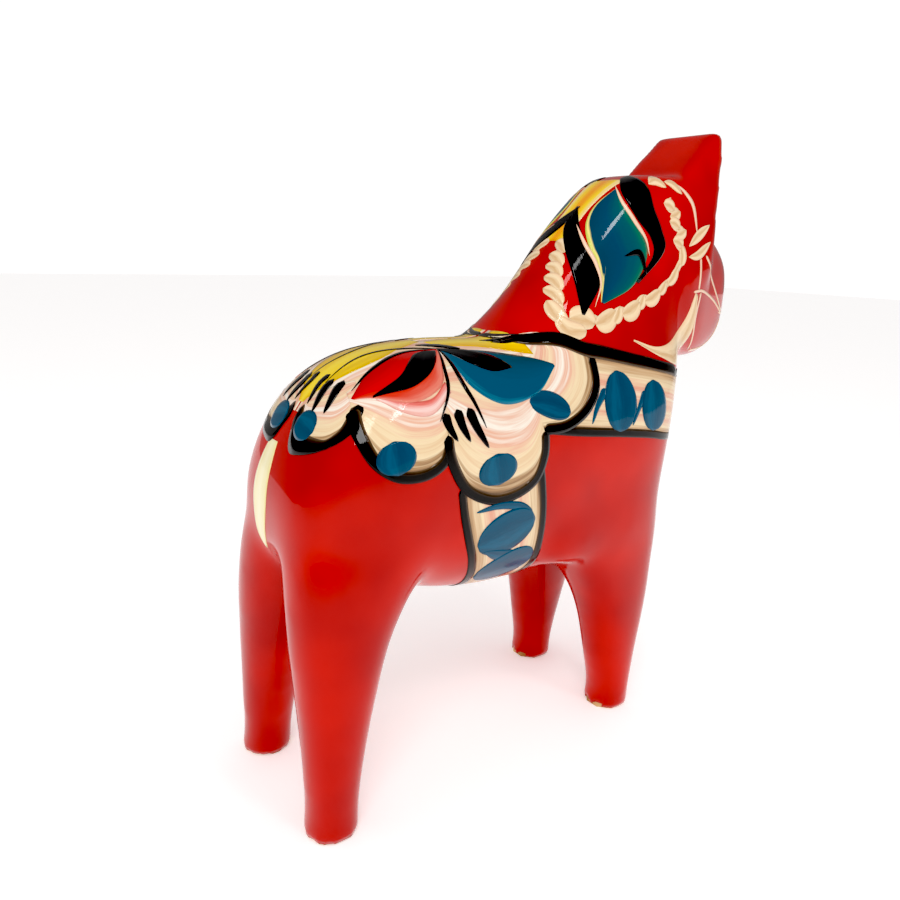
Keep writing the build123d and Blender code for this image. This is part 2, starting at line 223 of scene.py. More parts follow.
@dataclass(frozen=True)
class RedEnamel:
    """Orange-red alkyd enamel, brushed over carved pine: deep, even, a little wavy."""

    name: str = "red_enamel"
    colour: str = "cd1802"
    thick: str = "b40b00"
    patch_mm: float = 26.0
    knife_mm: float = 9.0
    knife_depth_mm: float = 0.07

    def material(self) -> bpy.types.Material:
        """Build the material.

        Returns:
            The material.
        """
        made = bpy.data.materials.new(self.name)
        made.use_nodes = True
        tree = made.node_tree
        shader = tree.nodes["Principled BSDF"]
        shader.inputs["Roughness"].default_value = 0.42
        shader.inputs["IOR"].default_value = 1.5
        place = add_node(tree, "ShaderNodeTexCoord", {}).outputs["Object"]
        # Where the brush left more enamel the red is deeper
        cloud = add_node(
            tree, "ShaderNodeTexNoise",
            {"Vector": place, "Scale": 1 / (self.patch_mm * MM), "Detail": 2.0},
        )
        ramp = add_node(tree, "ShaderNodeValToRGB", {"Fac": cloud.outputs["Fac"]})
        ramp.color_ramp.elements[0].position = 0.35
        ramp.color_ramp.elements[0].color = linear(self.thick)
        ramp.color_ramp.elements[1].position = 0.65
        ramp.color_ramp.elements[1].color = linear(self.colour)
        tree.links.new(ramp.outputs["Color"], shader.inputs["Base Color"])
        # Low facets of the knife show through both coats as slow waves
        facets = add_node(
            tree, "ShaderNodeTexNoise",
            {"Vector": place, "Scale": 1 / (self.knife_mm * MM), "Detail": 1.0, "Roughness": 0.3},
        )
        bump = add_node(
            tree, "ShaderNodeBump",
            {
                "Height": facets.outputs["Fac"],
                "Distance": self.knife_depth_mm * MM,
                "Strength": 1.0,
            },
        )
        tree.links.new(bump.outputs["Normal"], shader.inputs["Normal"])
        tree.links.new(bump.outputs["Normal"], shader.inputs["Coat Normal"])
        Varnish().cover(shader)
        return made


@dataclass(frozen=True)
class BarePine:
    """Planed pine, seen only on the worn soles: pale, with brown late-wood lines."""

    name: str = "bare_pine"
    early: str = "d9b784"
    late: str = "a9743f"
    ring_mm: float = 2.2

    def material(self) -> bpy.types.Material:
        """Build the material.

        Returns:
            The material.
        """
        made = bpy.data.materials.new(self.name)
        made.use_nodes = True
        tree = made.node_tree
        shader = tree.nodes["Principled BSDF"]
        shader.inputs["Roughness"].default_value = 0.62
        place = add_node(tree, "ShaderNodeTexCoord", {}).outputs["Object"]
        rings = add_node(
            tree, "ShaderNodeTexWave",
            {
                "Vector": place,
                "Scale": 1 / (self.ring_mm * MM) / WAVES,
                "Distortion": 3.0,
                "Detail": 2.0,
            },
            bands_direction="Y",
        )
        ramp = add_node(tree, "ShaderNodeValToRGB", {"Fac": rings.outputs["Fac"]})
        ramp.color_ramp.elements[0].color = linear(self.late)
        ramp.color_ramp.elements[1].color = linear(self.early)
        tree.links.new(ramp.outputs["Color"], shader.inputs["Base Color"])
        return made


@dataclass(frozen=True)
class LoadedBrush:
    """Oil paint from a brush loaded with several colours: streaks run along the touch.

    The first map coordinate is the length along the touch in metres, and the
    second runs from 0 to 1 across it.
    """

    name: str
    stops: tuple[tuple[float, str], ...]  # place across the touch, colour
    streaks: float = 9.0  # hairs' tracks across the touch
    streak_mm: float = 16.0  # length of a track
    wander: float = 0.25  # how far a track's colour strays across the touch
    relief_mm: float = 0.03
    roughness: float = 0.45

    def material(self) -> bpy.types.Material:
        """Build the material.

        Returns:
            The material.
        """
        made = bpy.data.materials.new(self.name)
        made.use_nodes = True
        tree = made.node_tree
        shader = tree.nodes["Principled BSDF"]
        shader.inputs["Roughness"].default_value = self.roughness
        shader.inputs["IOR"].default_value = 1.5
        chart = add_node(tree, "ShaderNodeUVMap", {}, uv_map="touch").outputs["UV"]
        parts = add_node(tree, "ShaderNodeSeparateXYZ", {"Vector": chart})
        stretched = add_node(
            tree, "ShaderNodeMapping",
            {"Vector": chart, "Scale": (1 / (self.streak_mm * MM), self.streaks, 1.0)},
        )
        hairs = add_node(
            tree, "ShaderNodeTexNoise",
            {"Vector": stretched.outputs["Vector"], "Scale": 1.0, "Detail": 3.0, "Roughness": 0.6},
        )
        stray = add_node(
            tree, "ShaderNodeMath", {0: hairs.outputs["Fac"], 1: 0.5}, operation="SUBTRACT"
        )
        across = add_node(
            tree, "ShaderNodeMath",
            {0: stray.outputs[0], 1: 2 * self.wander, 2: parts.outputs["Y"]},
            operation="MULTIPLY_ADD",
        )
        ramp = add_node(tree, "ShaderNodeValToRGB", {"Fac": across.outputs[0]})
        stops = ramp.color_ramp.elements
        while len(stops) < len(self.stops):
            stops.new(0.5)
        for stop, (position, colour) in zip(stops, self.stops):
            stop.position = position
            stop.color = linear(colour)
        tree.links.new(ramp.outputs["Color"], shader.inputs["Base Color"])
        bump = add_node(
            tree, "ShaderNodeBump",
            {"Height": hairs.outputs["Fac"], "Distance": self.relief_mm * MM, "Strength": 1.0},
        )
        tree.links.new(bump.outputs["Normal"], shader.inputs["Normal"])
        tree.links.new(bump.outputs["Normal"], shader.inputs["Coat Normal"])
        Varnish().cover(shader)
        return made


CREAM, ROSE, WHITE, SOOT = "efdab4", "e3a48c", "f6eee0", "14110f"
CLOTH = LoadedBrush(
    "cloth_cream_and_rose_oil",
    (
        (0.0, "f3e6cc"), (0.14, ROSE), (0.24, CREAM), (0.36, "e9b9a0"), (0.46, WHITE),
        (0.58, "e8b49a"), (0.66, CREAM), (0.76, "e6c79f"), (0.85, CREAM), (0.93, "b08c66"),
        (1.0, "4a382a"),
    ),
    streaks=16.0, streak_mm=34.0, wander=0.24, relief_mm=0.05,
)
BAND = LoadedBrush(
    "band_cream_and_rose_oil",
    (
        (0.0, "4a382a"), (0.09, "c9a47c"), (0.2, CREAM), (0.32, ROSE), (0.42, "f0d9bb"),
        (0.52, "e5b096"), (0.62, CREAM), (0.72, "e2a891"), (0.82, CREAM), (0.92, "c9a47c"),
        (1.0, "4a382a"),
    ),
    streaks=13.0, streak_mm=60.0, wander=0.2, relief_mm=0.05,
)
BORDER = LoadedBrush(
    "border_black_oil",
    ((0.0, "6b5540"), (0.16, "3a2c20"), (0.34, SOOT), (1.0, "0c0b0b")),
    streaks=3.0, streak_mm=14.0, wander=0.16, relief_mm=0.02,
)
BLACK = LoadedBrush(
    "black_oil", ((0.0, "0d0d0e"), (0.5, "1d1d1f"), (1.0, "101012")), streaks=5.0, relief_mm=0.06
)
BLUE = LoadedBrush(
    "prussian_blue_oil",
    ((0.0, "0b5673"), (0.4, "0a4c68"), (0.7, "0d5f7d"), (1.0, "0a4a64")),
    streaks=10.0, streak_mm=7.0, wander=0.3, relief_mm=0.05,
)
PETAL_BLUE = LoadedBrush(
    "petal_prussian_blue_oil",
    ((0.0, "1d4a55"), (0.12, "0b5068"), (0.6, "0a5a78"), (0.9, "0c5a78"), (1.0, "2f7f98")),
    streaks=9.0, streak_mm=18.0, wander=0.22, relief_mm=0.04,
)
MANE_BLUE = LoadedBrush(
    "mane_blue_and_green_oil",
    (
        (0.0, "cfd66a"), (0.05, "f3e28a"), (0.1, "0f4b63"), (0.45, "0c4f6b"), (0.8, "0c5f68"),
        (1.0, "2b7a5c"),
    ),
    streaks=9.0, streak_mm=22.0, wander=0.16, relief_mm=0.05,
)
YELLOW = LoadedBrush(
    "cadmium_yellow_oil",
    ((0.0, "d9b21c"), (0.25, "f2cf1f"), (0.5, "f7dc3a"), (0.75, "efc414"), (1.0, "dfae10")),
    streaks=9.0, streak_mm=20.0, wander=0.3, relief_mm=0.05,
)
CREST = LoadedBrush(
    "crest_yellow_and_orange_oil",
    (
        (0.0, "f1d9a8"), (0.2, "f4d22c"), (0.45, "ee9d1e"), (0.55, "ee9d1e"), (0.8, "f4d22c"),
        (1.0, "f1d9a8"),
    ),
    streaks=12.0, streak_mm=20.0, wander=0.2, relief_mm=0.05,
)
PETAL_RED = LoadedBrush(
    "vermilion_oil",
    ((0.0, "b90d06"), (0.45, "d61208"), (0.75, "d8402c"), (1.0, "e58a78")),
    streaks=9.0, streak_mm=14.0, wander=0.2, relief_mm=0.04,
)
PINK = LoadedBrush(
    "rose_oil",
    ((0.0, "dd5c50"), (0.3, "e88f86"), (0.6, "f4d3cb"), (1.0, "e9a596")),
    streaks=7.0, streak_mm=9.0, wander=0.3, relief_mm=0.05,
)
IVORY = LoadedBrush(
    "ivory_oil",
    ((0.0, "efc9a2"), (0.3, "f3dcb6"), (0.6, "d9b487"), (1.0, "f3dcb8")),
    streaks=5.0, streak_mm=6.0, wander=0.3, relief_mm=0.06,
)
FINE_IVORY = LoadedBrush(
    "fine_ivory_oil",
    ((0.0, "f0c3a4"), (0.5, "f6d7bd"), (1.0, "f0c3a4")), streaks=2.0, streak_mm=9.0, relief_mm=0.02
)
TAIL_CREAM = LoadedBrush(
    "tail_cream_oil",
    ((0.0, "f2e5a8"), (0.5, "fbf3cd"), (1.0, "f4e7ae")), streaks=6.0, streak_mm=30.0, relief_mm=0.05
)


# ---- how a touch of the brush lies on the horse ---------------------------------------
class Wrap(Enum):
    """How the two coordinates of a touch find their place on the horse."""

    TORSO = "mm along X, then degrees from the spine round the barrel"
    NECK = "mm up the neck's axis, then degrees from the crest round it"
    SIDE = "mm along X and Z, seen from the side"
    REAR = "mm along Y and Z, seen from behind"
    FRONT = "mm along Y and Z, seen from in front"

    def pace(self) -> float:
        """Millimetres on the surface for one unit of the second coordinate."""
        return {Wrap.TORSO: 0.52, Wrap.NECK: 0.27}.get(self, 1.0)

    def rays(self, grid: np.ndarray, hand: int) -> tuple[np.ndarray, np.ndarray]:
        """Start points and directions of the rays that carry a touch to the coat.

        Args:
            grid: rows of columns of coordinate pairs.
            hand: 1 for the horse's right side, -1 for its left.

        Returns:
            Start points in metres, and unit directions.
        """
        first, second = grid[..., 0], grid[..., 1]
        still = np.zeros_like(first)
        turn = np.radians(second)
        if self is Wrap.TORSO:
            out = np.stack([still, -np.sin(turn), np.cos(turn)], -1)
            axis = np.stack([first + MIDDLE, still, still + BARREL_AXIS_Z], -1)
        elif self is Wrap.NECK:
            out = np.stack(
                [np.cos(turn) * NECK_CREST[0], -np.sin(turn), np.cos(turn) * NECK_CREST[1]], -1
            )
            axis = np.stack(
                [
                    NECK_START[0] + first * NECK_AXIS[0] + MIDDLE,
                    still,
                    NECK_START[1] + first * NECK_AXIS[1],
                ],
                -1,
            )
        elif self is Wrap.SIDE:
            out = np.stack([still, still - 1, still], -1)
            axis = np.stack([first + MIDDLE, still, second], -1)
        else:
            away = -1 if self is Wrap.REAR else 1
            out = np.stack([still + away, still, still], -1)
            axis = np.stack([still + away * REACH, -first, second], -1)
        start = axis + REACH * out
        mirror = np.array([1, hand, 1])
        return start * mirror * MM, -out * mirror


class Tip(Enum):
    """The outline that the brush gives a touch along its length."""

    EVEN = "even, with rounded ends"
    OVAL = "an ellipse"
    LEAF = "pointed at both ends"
    DROP = "thin at the start, full at the end"
    THORN = "full at the start, pointed at the end"

    def half_width(self, t: np.ndarray) -> np.ndarray:
        """Half the width at each place along the touch.

        Args:
            t: places, 0 at the start and 1 at the end.

        Returns:
            Half widths, from 0 to 1.
        """
        round_end = np.sqrt(np.clip(1 - (2 * t - 1) ** 2, 0, 1))
        if self is Tip.OVAL:
            return round_end
        if self is Tip.LEAF:
            return np.sin(math.pi * t) ** 0.8
        if self is Tip.DROP:
            return np.sqrt(np.clip(t, 0, 1)) * np.sqrt(np.clip(1 - t, 0, 1) * 8).clip(0, 1)
        if self is Tip.THORN:
            return Tip.DROP.half_width(1 - t)
        return np.clip(round_end * 3, 0, 1)


def smooth(points: tuple[Point, ...], steps: int) -> np.ndarray:
    """A smooth curve through points, evenly stepped by length.

    Args:
        points: the points to pass through.
        steps: how many points come back.

    Returns:
        The curve's points.
    """
    knots = np.array(points, float)
    padded = np.vstack([2 * knots[0] - knots[1], knots, 2 * knots[-1] - knots[-2]])
    fine = []
    for before, here, there, after in zip(padded, padded[1:], padded[2:], padded[3:]):
        t = np.linspace(0, 1, 24, endpoint=False)[:, None]
        fine.append(
            0.5
            * (
                2 * here
                + (there - before) * t
                + (2 * before - 5 * here + 4 * there - after) * t**2
                + (3 * here - before - 3 * there + after) * t**3
            )
        )
    curve = np.vstack(fine + [knots[-1:]])
    length = np.concatenate([[0], np.cumsum(np.linalg.norm(np.diff(curve, axis=0), axis=1))])
    even = np.linspace(0, length[-1], steps)
    return np.stack([np.interp(even, length, curve[:, k]) for k in (0, 1)], -1)


@dataclass(frozen=True)
class Touch:
    """One touch of the brush, as two edges or as a path with a width."""

    wrap: Wrap
    path: tuple[Point, ...]  # the centre line, or the inner edge when there is an outer one
    width: float = 1.0  # mm
    tip: Tip = Tip.EVEN
    outer: tuple[Point, ...] = ()  # the outer edge, where the touch lies between two edges
    lift: float = 0.12  # mm that its face stands above the coat
    both: bool = True  # the other side of the horse has it too

    SPACING = 0.75  # mm between the points of a touch
    MEASURED = 60  # points of the rough curve that gives its length
    THINNEST = 0.06  # least part of its width, so that no tip has an empty edge

    def grid(self) -> np.ndarray:
        """Coordinates of the touch's points.

        Returns:
            Rows across the touch, of columns along it, of coordinate pairs.
        """
        pace = np.array([1.0, self.wrap.pace()])
        rough = smooth(self.path, self.MEASURED) * pace
        length = np.linalg.norm(np.diff(rough, axis=0), axis=1).sum()
        width = self.width
        if self.outer:
            far = smooth(self.outer, self.MEASURED) * pace
            width = np.linalg.norm(far - rough, axis=1).max()
            length = max(length, np.linalg.norm(np.diff(far, axis=0), axis=1).sum())
        along = max(5, math.ceil(length / self.SPACING) + 1)
        across = max(3, math.ceil(width / self.SPACING) + 1)
        inner = smooth(self.path, along)
        if self.outer:
            outer = smooth(self.outer, along)
        else:
            slope = np.gradient(inner * pace, axis=0)
            slope /= np.linalg.norm(slope, axis=1)[:, None] + 1e-9
            left = np.stack([-slope[:, 1], slope[:, 0]], -1)
            half = self.tip.half_width(np.linspace(0, 1, along))[:, None]
            half = np.maximum(half, self.THINNEST) * self.width / 2
            inner, outer = inner - left * half / pace, inner + left * half / pace
        v = np.linspace(0, 1, across)[:, None, None]
        return inner[None] * (1 - v) + outer[None] * v


@dataclass
class PaintLayer:
    """One colour of the decoration: all its touches, on both sides, as one piece."""

    name: str
    slot: str
    finish: LoadedBrush
    touches: list[Touch]

    BODY_MM = 0.3  # depth of the closed film, most of it sunk in the coat

    def flat_mesh(self) -> bpy.types.Mesh:
        """The touches as sheets that hang off the horse.

        Returns:
            A mesh with each point's aim and lift, and a map of the touch.
        """
        starts, aims, lifts, faces, charts = [], [], [], [], []
        offset = 0
        for touch in self.touches:
            grid = touch.grid()
            rows, columns = grid.shape[:2]
            mapped = grid * np.array([1.0, touch.wrap.pace()])
            middle = mapped[rows // 2]
            run = np.concatenate([[0], np.cumsum(np.linalg.norm(np.diff(middle, axis=0), axis=1))])
            u = np.broadcast_to(run * MM, (rows, columns))
            v = np.broadcast_to(np.linspace(0, 1, rows)[:, None], (rows, columns))
            index = np.arange(rows * columns).reshape(rows, columns)
            quads = np.stack([index[:-1, :-1], index[:-1, 1:], index[1:, 1:], index[1:, :-1]], -1)
            quads = quads.reshape(-1, 4)
            for hand in (1, -1) if touch.both else (1,):
                start, aim = touch.wrap.rays(grid, hand)
                flat = start.reshape(-1, 3)
                a, b, c = flat[quads[:, 0]], flat[quads[:, 1]], flat[quads[:, 2]]
                facing = np.cross(b - a, c - a).sum(0) @ -aim.reshape(-1, 3).mean(0)
                turned = quads if facing > 0 else quads[:, ::-1]
                starts.append(flat)
                aims.append(aim.reshape(-1, 3))
                lifts.append(np.full(len(flat), touch.lift * MM))
                faces.append(turned + offset)
                charts.append(np.stack([u.ravel(), v.ravel()], -1))
                offset += len(flat)
        corners = np.vstack(faces)
        mesh = bpy.data.meshes.new(self.name)
        mesh.from_pydata(np.vstack(starts), [], corners)
        put_attribute(mesh, "aim", np.vstack(aims))
        put_attribute(mesh, "lift", np.concatenate(lifts))
        chart = mesh.uv_layers.new(name="touch")
        chart.data.foreach_set("uv", np.vstack(charts)[corners.ravel()].astype(np.float32).ravel())
        mesh.polygons.foreach_set("use_smooth", np.ones(len(corners), bool))
        return mesh

    def lay(self, tree: bpy.types.NodeTree, skin: bpy.types.Object) -> bpy.types.Object:
        """Lay the touches on the coat and close them.

        Args:
            tree: the tree that carries each point to the coat.
            skin: the coat's face.

        Returns:
            The finished piece.
        """
        sheet = object_from(self.name + "_sheet", self.flat_mesh())
        run_tree(sheet, tree, {"Skin": skin, "Paint": self.finish.material()})
        film = sheet.modifiers.new("film", "SOLIDIFY")
        film.thickness = self.BODY_MM * MM
        film.offset = -1
        piece = baked(sheet, self.name + "_paint")
        return ride_along(piece, self.name)


def ride_along(piece: bpy.types.Object, node: str) -> bpy.types.Object:
    """Hang a piece on the root body and hide the CAD part that it stands for.

    Args:
        piece: the finished piece.
        node: the CAD node that it replaces.

    Returns:
        The same piece.
    """
    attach(piece, "root")
    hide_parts(node)
    LOG.info("%s: %d faces", piece.name, len(piece.data.polygons))
    return piece


# ---- wood and coat ------------------------------------------------------------------
@dataclass
class CarvedHorse:
    """The carved block, its sanding, and the red coat over it."""

    grain: float = 1.1 * MM  # size of the mesh's squares
    passes: int = 26  # strokes of the sandpaper
    facet_size: float = 19 * MM
    facet_depth: float = 0.35 * MM
    coat: float = 0.3 * MM
    worn: float = 0.5 * MM  # height of the bare rim at the soles
    seam: float = 0.004 * MM  # points nearer than this are one
    shell: float = 0.9  # the part of the coat's thickness that is solid

    # How much the sandpaper takes at each height: least at the soles and the ears
    HEIGHTS = (0, 2, 9, 38, 52, 78, 90, 120, 132, 158, 164)  # mm
    SOFT = (0, 0, 0.22, 0.25, 1, 1, 0.7, 0.9, 0.5, 0.3, 0.06)
    HEAD = (72, 104)  # mm, X and Z: the head is ahead of and above this
    HEAD_SOFT = 0.12

    def merged(self) -> bpy.types.Object:
        """Copy the CAD body as one closed mesh of even squares.

        Returns:
            The copy.
        """
        copy = object_from("horse_copy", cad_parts["pine_body"].data.copy())
        tree = new_tree("close seams", [("Seam", "NodeSocketFloat"), PAINT_INPUT])
        source = add_node(tree, "NodeGroupInput", {})
        weld = add_node(
            tree, "GeometryNodeMergeByDistance",
            {"Geometry": source.outputs["Geometry"], "Distance": source.outputs["Seam"]},
        )
        end_tree(tree, weld.outputs["Geometry"], source.outputs["Paint"])
        run_tree(copy, tree, {"Seam": self.seam})
        remesh = copy.modifiers.new("even squares", "REMESH")
        remesh.mode = "VOXEL"
        remesh.voxel_size = self.grain
        remesh.use_smooth_shade = True
        return baked(copy, "horse_blank")

    def softness(self, place: np.ndarray) -> np.ndarray:
        """How much the sandpaper takes at each point, from 0 to 1.

        Args:
            place: points in millimetres.

        Returns:
            One number for each point.
        """
        x, z = place[:, 0] - MIDDLE, place[:, 2]
        soft = np.interp(z, self.HEIGHTS, self.SOFT)
        head = np.clip((x - self.HEAD[0]) / 8, 0, 1) * np.clip((z - self.HEAD[1]) / 6, 0, 1)
        return soft * (1 - head) + np.minimum(soft, self.HEAD_SOFT) * head

    def sanding_tree(self) -> bpy.types.NodeTree:
        """Make the tree that softens the carving and leaves low facets on it.

        Returns:
            The tree.
        """
        tree = new_tree(
            "sand the carving",
            [("Passes", "NodeSocketInt"), ("Depth", "NodeSocketFloat"), PAINT_INPUT],
        )
        source = add_node(tree, "NodeGroupInput", {})
        place = add_node(tree, "GeometryNodeInputPosition", {})
        soft = add_node(
            tree, "GeometryNodeInputNamedAttribute", {"Name": "softness"}, data_type="FLOAT"
        )
        blur = add_node(
            tree, "GeometryNodeBlurAttribute",
            {
                "Value": place.outputs[0],
                "Iterations": source.outputs["Passes"],
                "Weight": soft.outputs["Attribute"],
            },
            data_type="FLOAT_VECTOR",
        )
        sanded = add_node(
            tree, "GeometryNodeSetPosition",
            {"Geometry": source.outputs["Geometry"], "Position": blur.outputs[0]},
        )
        cuts = add_node(
            tree, "ShaderNodeTexNoise", {"Scale": 1 / self.facet_size, "Detail": 0.0}
        )
        centred = add_node(
            tree, "ShaderNodeMath", {0: cuts.outputs["Fac"], 1: 0.5}, operation="SUBTRACT"
        )
        depth = add_node(
            tree, "ShaderNodeMath",
            {0: centred.outputs[0], 1: source.outputs["Depth"]}, operation="MULTIPLY",
        )
        masked = add_node(
            tree, "ShaderNodeMath",
            {0: depth.outputs[0], 1: soft.outputs["Attribute"]}, operation="MULTIPLY",
        )
        normal = add_node(tree, "GeometryNodeInputNormal", {})
        push = add_node(
            tree, "ShaderNodeVectorMath",
            {0: normal.outputs[0], "Scale": masked.outputs[0]}, operation="SCALE",
        )
        carved = add_node(
            tree, "GeometryNodeSetPosition",
            {"Geometry": sanded.outputs["Geometry"], "Offset": push.outputs["Vector"]},
        )
        end_tree(tree, carved.outputs["Geometry"], source.outputs["Paint"])
        return tree

    def carve(self) -> bpy.types.Object:
        """Make the finished wood.

        Returns:
            The wood, as a plain object.
        """
        blank = self.merged()
        points = np.zeros(len(blank.data.vertices) * 3)
        blank.data.vertices.foreach_get("co", points)
        points = points.reshape(-1, 3)
        put_attribute(blank.data, "softness", self.softness(points / MM))
        blank.data.materials.clear()
        run_tree(
            blank, self.sanding_tree(),
            {
                "Passes": self.passes,
                "Depth": 2 * self.facet_depth,
                "Paint": BarePine().material(),
            },
        )
        return baked(blank, "pine_wood")

    def skin(self, wood: bpy.types.Object) -> bpy.types.Object:
        """Make the coat's face, fine enough to lay paint on.

        Args:
            wood: the finished wood.

        Returns:
            The face, as an object of its own.
        """
        mesh = wood.data.copy()
        points = np.zeros(len(mesh.vertices) * 3)
        normals = np.zeros(len(mesh.vertices) * 3)
        mesh.vertices.foreach_get("co", points)
        mesh.vertices.foreach_get("normal", normals)
        mesh.vertices.foreach_set("co", points + normals * self.coat)
        mesh.update()
        skin = object_from("skin", mesh)
        finer = skin.modifiers.new("finer", "SUBSURF")
        finer.levels = finer.render_levels = 1
        return baked(skin, "skin")

    def lay_coat(self, wood: bpy.types.Object) -> bpy.types.Object:
        """Make the red enamel, open where the soles are worn bare.

        Args:
            wood: the finished wood.

        Returns:
            The coat.
        """
        mesh = wood.data.copy()
        tree = new_tree(
            "dip in enamel",
            [("Thickness", "NodeSocketFloat"), ("Worn", "NodeSocketFloat"), PAINT_INPUT],
        )
        source = add_node(tree, "NodeGroupInput", {})
        place = add_node(tree, "GeometryNodeInputPosition", {})
        height = add_node(tree, "ShaderNodeSeparateXYZ", {"Vector": place.outputs[0]})
        low = add_node(
            tree, "FunctionNodeCompare",
            {"A": height.outputs["Z"], "B": source.outputs["Worn"]},
            operation="LESS_THAN", data_type="FLOAT",
        )
        opened = add_node(
            tree, "GeometryNodeDeleteGeometry",
            {"Geometry": source.outputs["Geometry"], "Selection": low.outputs[0]}, domain="POINT",
        )
        normal = add_node(tree, "GeometryNodeInputNormal", {})
        push = add_node(
            tree, "ShaderNodeVectorMath",
            {0: normal.outputs[0], "Scale": source.outputs["Thickness"]}, operation="SCALE",
        )
        grown = add_node(
            tree, "GeometryNodeSetPosition",
            {"Geometry": opened.outputs["Geometry"], "Offset": push.outputs["Vector"]},
        )
        end_tree(tree, grown.outputs["Geometry"], source.outputs["Paint"])
        blank = object_from("coat_blank", mesh)
        run_tree(
            blank, tree,
            {"Thickness": self.coat, "Worn": self.worn, "Paint": RedEnamel().material()},
        )
        shell = blank.modifiers.new("shell", "SOLIDIFY")
        shell.thickness = self.coat * self.shell
        shell.offset = -1
        return baked(blank, "red_coat_enamel")


def laying_tree() -> bpy.types.NodeTree:
    """Make the tree that carries each point of a touch along its aim to the coat.

    Returns:
        The tree.
    """
    tree = new_tree("lay paint", [("Skin", "NodeSocketObject"), PAINT_INPUT])
    source = add_node(tree, "NodeGroupInput", {})
    skin = add_node(tree, "GeometryNodeObjectInfo", {"Object": source.outputs["Skin"]})
    aim = add_node(
        tree, "GeometryNodeInputNamedAttribute", {"Name": "aim"}, data_type="FLOAT_VECTOR"
    )
    lift = add_node(tree, "GeometryNodeInputNamedAttribute", {"Name": "lift"}, data_type="FLOAT")
    ray = add_node(
        tree, "GeometryNodeRaycast",
        {
            "Target Geometry": skin.outputs["Geometry"],
            "Ray Direction": aim.outputs["Attribute"],
            "Ray Length": 4 * REACH * MM,
        },
    )
    missed = add_node(
        tree, "FunctionNodeBooleanMath", {0: ray.outputs["Is Hit"]}, operation="NOT"
    )
    kept = add_node(
        tree, "GeometryNodeDeleteGeometry",
        {"Geometry": source.outputs["Geometry"], "Selection": missed.outputs[0]}, domain="POINT",
    )
    out = add_node(
        tree, "ShaderNodeVectorMath",
        {0: ray.outputs["Hit Normal"], "Scale": lift.outputs["Attribute"]}, operation="SCALE",
    )
    place = add_node(
        tree, "ShaderNodeVectorMath", {0: ray.outputs["Hit Position"], 1: out.outputs["Vector"]}
    )
    laid = add_node(
        tree, "GeometryNodeSetPosition",
        {"Geometry": kept.outputs["Geometry"], "Position": place.outputs["Vector"]},
    )
    end_tree(tree, laid.outputs["Geometry"], source.outputs["Paint"])
    return tree


# ---- the decoration -------------------------------------------------------------------
# How far above the coat each kind of touch lies, mm, so that later paint covers earlier
GROUND_LIFT, EDGE_LIFT, PETAL_LIFT, LINE_LIFT = 0.10, 0.16, 0.20, 0.26
T, N, S = Wrap.TORSO, Wrap.NECK, Wrap.SIDE


def flipped(points: list[Point]) -> list[Point]:
    """The same points on the other side of the spine."""
    return [(a, -b) for a, b in points]


@dataclass
class SaddleCloth:
    """The white cloth over the back: scalloped lobes with black borders and blue dots."""

    edge: float = 2.9  # mm, width of the black border

    # The lobes' rims, as place along the barrel and degrees from the spine
    HIP = ((-48.5, 4), (-51.2, 16), (-52.0, 32), (-50.4, 46), (-46.6, 47), (-43.2, 41), (-41.5, 36))
    FLANK = (
        (-43, 37), (-43.6, 50), (-41.6, 64), (-36.5, 72.5), (-29.5, 74), (-24, 69.5), (-21.8, 61),
    )
    WAIST = (
        (-22.4, 58), (-21.4, 70), (-16.8, 85), (-9, 93.5), (-1, 93.5), (5.6, 87.5), (8.6, 75),
        (9, 62),
    )
    WITHERS = ((8.6, 61.5), (17, 61), (24.6, 55), (29.6, 45), (30.2, 36), (29.4, 32.5))

    def touches(self) -> list[Touch]:
        """The cloth's own paint.

        Returns:
            The touches of the back and of each lobe.
        """
        lift = GROUND_LIFT
        back = ((-49, 1), (-30, 1), (-8, 1), (9, 1))
        return [
            Touch(T, back, outer=((-49, 32), (-30, 38), (-8, 42), (9, 46)), lift=lift),
            Touch(T, ((4, 1), (6, 6), (8, 12)), outer=((8, 50), (18, 46), (22, 26)), lift=lift),
            Touch(T, ((-47, 8), (-44, 14), (-39, 22)), outer=self.HIP, lift=lift + 0.01),
            Touch(T, ((-42, 26), (-32, 24), (-19, 30)), outer=self.FLANK, lift=lift + 0.02),
            Touch(T, ((-21, 30), (-8, 27), (8, 34)), outer=self.WAIST, lift=lift + 0.03),
            Touch(
                T, ((5, 36), (9, 30), (13, 24)), outer=(*self.WITHERS, (26, 29)), lift=lift + 0.04
            ),
        ]

    def borders(self) -> list[Touch]:
        """The black rims of the lobes.

        Returns:
            One touch for each lobe.
        """
        rims = (self.HIP, self.FLANK, self.WAIST, self.WITHERS)
        return [
            Touch(T, rim, self.edge, lift=EDGE_LIFT + 0.01 * order)
            for order, rim in enumerate(rims)
        ]

    def layers(self) -> list[PaintLayer]:
        """All the cloth's colours.

        Returns:
            One layer for each colour and part.
        """
        dots = [
            Touch(T, ((-36.8, 57), (-36.2, 72)), 10.0, Tip.OVAL, lift=PETAL_LIFT),
            Touch(T, ((-7.6, 69.5), (-6.6, 86)), 12.5, Tip.OVAL, lift=PETAL_LIFT),
            Touch(T, ((4.8, 48), (11, 50), (18.8, 55)), 6.6, Tip.OVAL, lift=PETAL_LIFT),
        ]
        rump = [Touch(Wrap.REAR, ((3.0, 102.6), (11.2, 101)), 6.6, Tip.OVAL, lift=PETAL_LIFT)]
        return [
            PaintLayer("saddle_ground", "cream_paint", CLOTH, self.touches()),
            PaintLayer("saddle_border", "black_paint", BORDER, self.borders()),
            PaintLayer("saddle_dots", "blue_paint", BLUE, dots),
            PaintLayer("rump_dots", "blue_paint", BLUE, rump),
        ]


